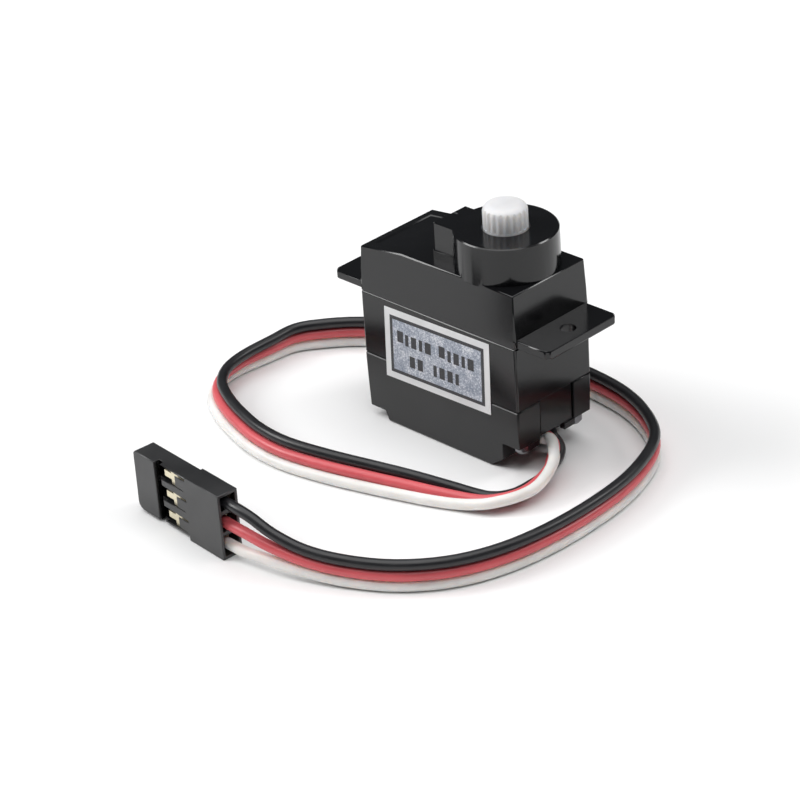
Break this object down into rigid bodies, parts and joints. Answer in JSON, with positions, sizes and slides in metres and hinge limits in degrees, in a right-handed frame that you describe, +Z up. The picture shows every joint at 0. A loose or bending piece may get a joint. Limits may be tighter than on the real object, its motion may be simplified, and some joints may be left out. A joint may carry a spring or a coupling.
{
  "type": "micro servo motor",
  "caption": "Small geared servo motor with splined output shaft, mounting tabs, position sensor, control board and a flat three-wire lead ending in a socket plug.",
  "frame": {"origin": "middle of the case in X and Y, on its underside", "axes": "+X towards the output shaft end, -Y towards the labelled side, +Z up along the output shaft"},
  "size_m": [0.0553, 0.0507, 0.029],
  "materials": {
    "case_plastic": "semi-gloss moulded black ABS",
    "cover_plastic": "satin moulded black ABS",
    "screw_steel": "blackened steel",
    "label_foil": "printed silvery foil",
    "white_nylon": "natural nylon",
    "brass": "turned",
    "bright_steel": "ground",
    "sensor_plastic": "moulded blue resin",
    "carbon_film": "printed carbon",
    "motor_steel": "drawn and plated",
    "magnet": "sintered",
    "copper_wire": "enamelled copper",
    "board": "solder-masked laminate",
    "chip": "moulded epoxy",
    "ceramic": "fired ceramic",
    "solder": "solder",
    "wire_red": "soft PVC",
    "wire_black": "soft PVC",
    "wire_white": "soft PVC",
    "plug_plastic": "moulded black nylon",
    "contact_gold": "gold flash"
  },
  "bodies": {
    "case": {"bottom_cover": "cover_plastic", "mid_case": "case_plastic", "top_case": "case_plastic", "case_screws": "screw_steel", "label": "label_foil", "idler_pin": "bright_steel", "pot_body": "sensor_plastic", "pot_track": "carbon_film", "motor_can": "motor_steel", "motor_end_cap": "white_nylon", "motor_magnets": "magnet", "motor_brushes": "brass", "circuit_board": "board", "control_chip": "chip", "board_parts": "ceramic", "motor_leads": "wire_red", "sensor_leads": "bright_steel", "solder_joints": "solder", "lead": "wire_white", "connector_housing": "plug_plastic", "connector_contacts": "contact_gold"},
    "output": {"output_gear": "white_nylon", "pot_shaft": "bright_steel", "pot_wiper": "brass"},
    "third_gear": {"gear_3": "white_nylon"},
    "second_gear": {"gear_2": "white_nylon"},
    "first_gear": {"gear_1": "white_nylon"},
    "rotor": {"motor_pinion": "brass", "motor_shaft": "bright_steel", "motor_core": "motor_steel", "motor_coils": "copper_wire", "commutator": "copper_wire"}
  },
  "joints": [
    {"name": "output_turn", "type": "hinge", "parent": "case", "child": "output", "pos_m": [0.00538, 0, 0.0273], "axis": [0, 0, 1], "range_deg": [-90, 90]},
    {"name": "gear_3_turn", "type": "hinge", "parent": "case", "child": "third_gear", "pos_m": [0.00048, -0.00099, 0.0215], "axis": [0, 0, 1], "range_deg": [-411, 411]},
    {"name": "gear_2_turn", "type": "hinge", "parent": "case", "child": "second_gear", "pos_m": [0.00538, 0, 0.0185], "axis": [0, 0, 1], "range_deg": [-1168, 1168]},
    {"name": "gear_1_turn", "type": "hinge", "parent": "case", "child": "first_gear", "pos_m": [0.00048, -0.00099, 0.0175], "axis": [0, 0, 1], "range_deg": [-5317, 5317]},
    {"name": "motor_turn", "type": "hinge", "parent": "case", "child": "rotor", "pos_m": [-0.00442, 0, 0.0166], "axis": [0, 0, 1], "range_deg": [-15132, 15132]}
  ],
  "couplings": [
    {"joint": "gear_3_turn", "follows": "output_turn", "ratio": -4.5556},
    {"joint": "gear_2_turn", "follows": "output_turn", "ratio": 12.966},
    {"joint": "gear_1_turn", "follows": "output_turn", "ratio": -59.066},
    {"joint": "motor_turn", "follows": "output_turn", "ratio": 168.11}
  ]
}
